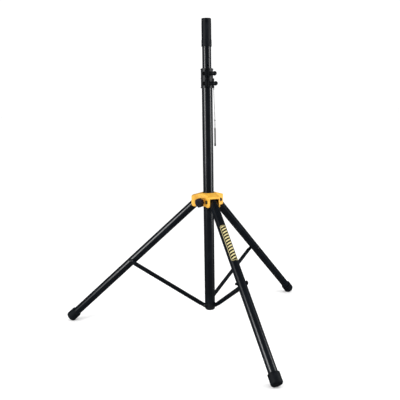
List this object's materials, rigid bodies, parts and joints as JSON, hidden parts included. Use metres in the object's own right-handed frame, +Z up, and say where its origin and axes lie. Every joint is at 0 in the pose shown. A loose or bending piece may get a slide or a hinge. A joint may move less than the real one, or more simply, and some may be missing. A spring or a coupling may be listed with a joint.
{
  "type": "speaker tripod stand",
  "caption": "Telescopic tripod stand for a loudspeaker: black tube mast with a split clamp, sliding yellow hub, folding legs with channel braces and rubber feet.",
  "frame": {"origin": "on the floor, under the middle of the three feet's bounding box", "axes": "+Z up along the mast; the front leg points along -Y and the stand is symmetric left to right but for its clamp, knob and lock pin"},
  "size_m": [1.0856, 0.946, 1.239],
  "materials": {
    "black_steel": "semi-gloss black powder coat",
    "black_plastic": "satin moulded nylon",
    "yellow_casting": "golden yellow gloss powder coat",
    "zinc_steel": "bright zinc plate",
    "wire": "twisted steel wire rope",
    "rubber": "matt moulded rubber"
  },
  "bodies": {
    "mast": {"outer_tube": "black_steel", "stop_rivets": "zinc_steel", "clamp_collar": "black_plastic", "clamp_liner": "black_plastic", "clamp_nuts": "zinc_steel", "tether_anchor": "zinc_steel", "tether_wire": "wire", "tether_ferrule": "black_plastic", "tether_loop": "wire", "bottom_fitting": "black_plastic", "brace_root_screws": "black_steel"},
    "inner_mast": {"inner_tube": "black_steel", "inner_guide": "black_plastic", "top_sleeve": "black_plastic", "sleeve_screw": "zinc_steel", "sleeve_cap": "black_plastic"},
    "lock_pin": {"lock_pin": "black_steel"},
    "screw_upper": {"clamp_bolt_upper": "zinc_steel", "t_handle_upper": "black_plastic"},
    "screw_lower": {"clamp_bolt_lower": "zinc_steel", "t_handle_lower": "black_plastic"},
    "hub": {"hub_casting": "yellow_casting", "hub_pins": "black_steel", "hub_pin_nuts": "black_steel", "hub_bush": "black_plastic"},
    "knob": {"hub_knob": "black_plastic", "hub_knob_stud": "zinc_steel"},
    "leg_front": {"leg_tube_front": "black_steel", "leg_head_front": "black_plastic", "foot_front": "rubber", "brace_spacer_front": "black_plastic", "brace_bolt_front": "black_steel", "brace_cap_nut_front": "black_steel"},
    "brace_front": {"brace_strip_front": "black_steel", "brace_screw_front": "black_steel"},
    "leg_left": {"leg_tube_left": "black_steel", "leg_head_left": "black_plastic", "foot_left": "rubber", "brace_spacer_left": "black_plastic", "brace_bolt_left": "black_steel", "brace_cap_nut_left": "black_steel"},
    "brace_left": {"brace_strip_left": "black_steel", "brace_screw_left": "black_steel"},
    "leg_right": {"leg_tube_right": "black_steel", "leg_head_right": "black_plastic", "foot_right": "rubber", "brace_spacer_right": "black_plastic", "brace_bolt_right": "black_steel", "brace_cap_nut_right": "black_steel"},
    "brace_right": {"brace_strip_right": "black_steel", "brace_screw_right": "black_steel"}
  },
  "joints": [
    {"name": "mast_slide", "type": "slide", "parent": "mast", "child": "inner_mast", "axis": [0, 0, 1], "range_m": [-0.081, 0.61]},
    {"name": "hub_slide", "type": "slide", "parent": "mast", "child": "hub", "axis": [0, 0, 1], "range_m": [0, 0.29936]},
    {"name": "knob_turn", "type": "hinge", "parent": "hub", "child": "knob", "pos_m": [-0.0433, 0.12467, 0.5275], "axis": [-0.866, -0.5, 0], "continuous": true},
    {"name": "screw_upper_turn", "type": "hinge", "parent": "mast", "child": "screw_upper", "pos_m": [-0.01129, 0.11866, 1.0296], "axis": [0.9397, -0.342, 0], "continuous": true},
    {"name": "screw_lower_turn", "type": "hinge", "parent": "mast", "child": "screw_lower", "pos_m": [-0.01129, 0.11866, 0.9916], "axis": [0.9397, -0.342, 0], "continuous": true},
    {"name": "lock_pin_swing", "type": "hinge", "parent": "mast", "child": "lock_pin", "pos_m": [0.02529, 0.13507, 0.8175], "axis": [-0.5, -0.866, 0], "range_deg": [0, 55]},
    {"name": "leg_fold_front", "type": "hinge", "parent": "hub", "child": "leg_front", "pos_m": [0, 0.10467, 0.5302], "axis": [1, 0, 0], "range_deg": [0, 47.51]},
    {"name": "brace_fold_front", "type": "hinge", "parent": "mast", "child": "brace_front", "pos_m": [0.0215, 0.13267, 0.0967], "axis": [-1, 0, 0], "range_deg": [0, 55.5]},
    {"name": "leg_fold_left", "type": "hinge", "parent": "hub", "child": "leg_left", "pos_m": [-0.03897, 0.17217, 0.5302], "axis": [-0.5, -0.866, 0], "range_deg": [0, 47.51]},
    {"name": "brace_fold_left", "type": "hinge", "parent": "mast", "child": "brace_left", "pos_m": [-0.02547, 0.13955, 0.0967], "axis": [0.5, 0.866, 0], "range_deg": [0, 55.5]},
    {"name": "leg_fold_right", "type": "hinge", "parent": "hub", "child": "leg_right", "pos_m": [0.03897, 0.17217, 0.5302], "axis": [-0.5, 0.866, 0], "range_deg": [0, 47.51]},
    {"name": "brace_fold_right", "type": "hinge", "parent": "mast", "child": "brace_right", "pos_m": [0.00397, 0.17679, 0.0967], "axis": [0.5, -0.866, 0], "range_deg": [0, 55.5]}
  ],
  "couplings": [
    {"joint": "leg_fold_front", "follows": "hub_slide", "rad_per_m": 2.7693},
    {"joint": "brace_fold_front", "follows": "hub_slide", "rad_per_m": 3.2347},
    {"joint": "leg_fold_left", "follows": "hub_slide", "rad_per_m": 2.7693},
    {"joint": "brace_fold_left", "follows": "hub_slide", "rad_per_m": 3.2347},
    {"joint": "leg_fold_right", "follows": "hub_slide", "rad_per_m": 2.7693},
    {"joint": "brace_fold_right", "follows": "hub_slide", "rad_per_m": 3.2347}
  ]
}
